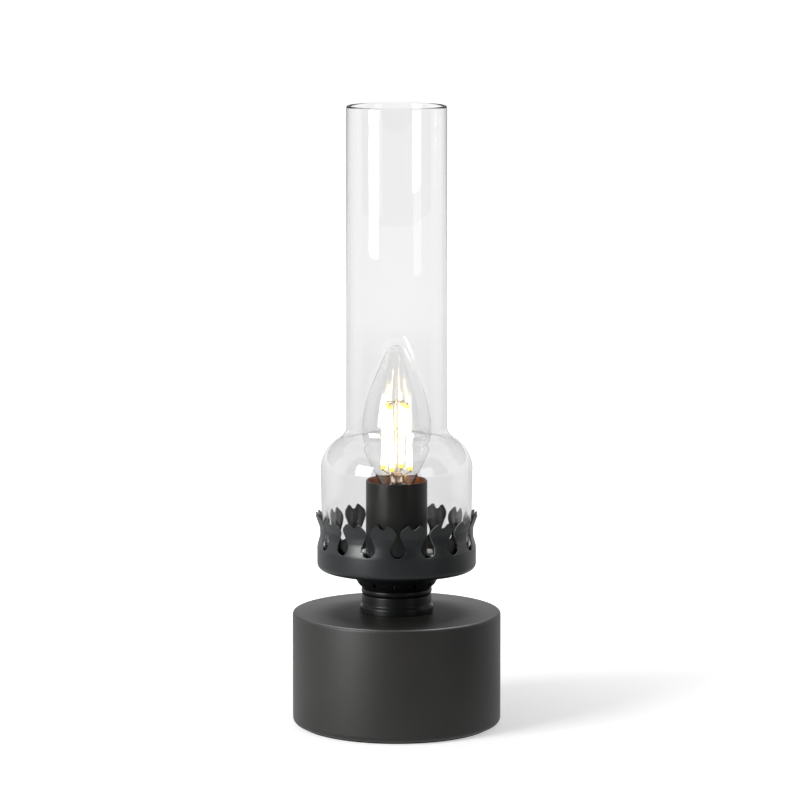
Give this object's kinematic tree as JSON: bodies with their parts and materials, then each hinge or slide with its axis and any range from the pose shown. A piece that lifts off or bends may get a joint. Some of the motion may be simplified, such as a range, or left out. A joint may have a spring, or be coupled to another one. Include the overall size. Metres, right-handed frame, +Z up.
{
  "type": "table lamp",
  "caption": "Electric table lamp in oil-lamp form: a weighted round base, a pierced crown gallery, a clear glass chimney and a candle lamp in a dark sleeve.",
  "frame": {"origin": "middle of the foot pad's underside, on the table", "axes": "+Z up along the lamp's axis, -Y towards the front, the cord inlet at +Y"},
  "size_m": [0.1054, 0.1065, 0.3144],
  "materials": {
    "base_powder_coat": "satin, finely textured powder coat",
    "neck_powder_coat": "satin, finely textured powder coat",
    "gallery_powder_coat": "satin powder coat on pressed sheet",
    "sleeve_lacquer": "satin lacquer on brass tube",
    "chimney_glass": "clear blown glass",
    "lamp_glass": "clear thin glass",
    "stem_glass": "clear lead-free glass",
    "filament_phosphor": "translucent phosphor silicone",
    "support_wire": "drawn nickel wire",
    "cap_nickel": "nickel-plated brass",
    "cap_insulator": "black vitreous insulator",
    "button_solder": "solder",
    "driver_board": "glass-fibre board",
    "holder_phenolic": "moulded phenolic",
    "contact_brass": "sprung brass",
    "terminal_brass": "turned brass",
    "cap_brass": "turned brass",
    "screw_steel": "zinc-plated steel",
    "clamp_steel": "zinc-plated steel",
    "weight_iron": "raw casting",
    "pad_foam": "closed-cell foam",
    "bush_plastic": "moulded nylon",
    "block_nylon": "moulded nylon",
    "live_insulation": "brown insulation",
    "neutral_insulation": "blue insulation"
  },
  "bodies": {
    "stand": {"foot_pad": "pad_foam", "base_housing": "base_powder_coat", "base_weight": "weight_iron", "cord_bush": "bush_plastic", "threaded_tube": "clamp_steel", "clamp_washer": "clamp_steel", "clamp_nut": "clamp_steel", "neck_collar": "neck_powder_coat", "collar_ring": "neck_powder_coat", "burner_cup": "neck_powder_coat", "gallery": "gallery_powder_coat", "socket_cap": "cap_brass", "socket_sleeve": "sleeve_lacquer", "sleeve_screws": "screw_steel", "lampholder_body": "holder_phenolic", "shell_contact": "contact_brass", "centre_contact": "contact_brass", "lead_terminals": "terminal_brass", "terminal_block": "block_nylon", "terminal_screws": "clamp_steel", "block_fixing_screw": "clamp_steel", "live_lead": "live_insulation", "neutral_lead": "neutral_insulation"},
    "bulb": {"bulb_cap": "cap_nickel", "bulb_insulator": "cap_insulator", "bulb_tip_contact": "button_solder", "bulb_driver": "driver_board", "bulb_glass": "lamp_glass", "bulb_stem": "stem_glass", "bulb_filaments": "filament_phosphor", "filament_supports": "support_wire"},
    "chimney": {"glass_chimney": "chimney_glass"}
  },
  "joints": [
    {"name": "chimney_lift", "type": "slide", "parent": "stand", "child": "chimney", "axis": [0, 0, 1], "range_m": [0, 0.12]},
    {"name": "bulb_withdraw", "type": "slide", "parent": "stand", "child": "bulb", "axis": [0, 0, 1], "range_m": [0, 0.035]}
  ]
}
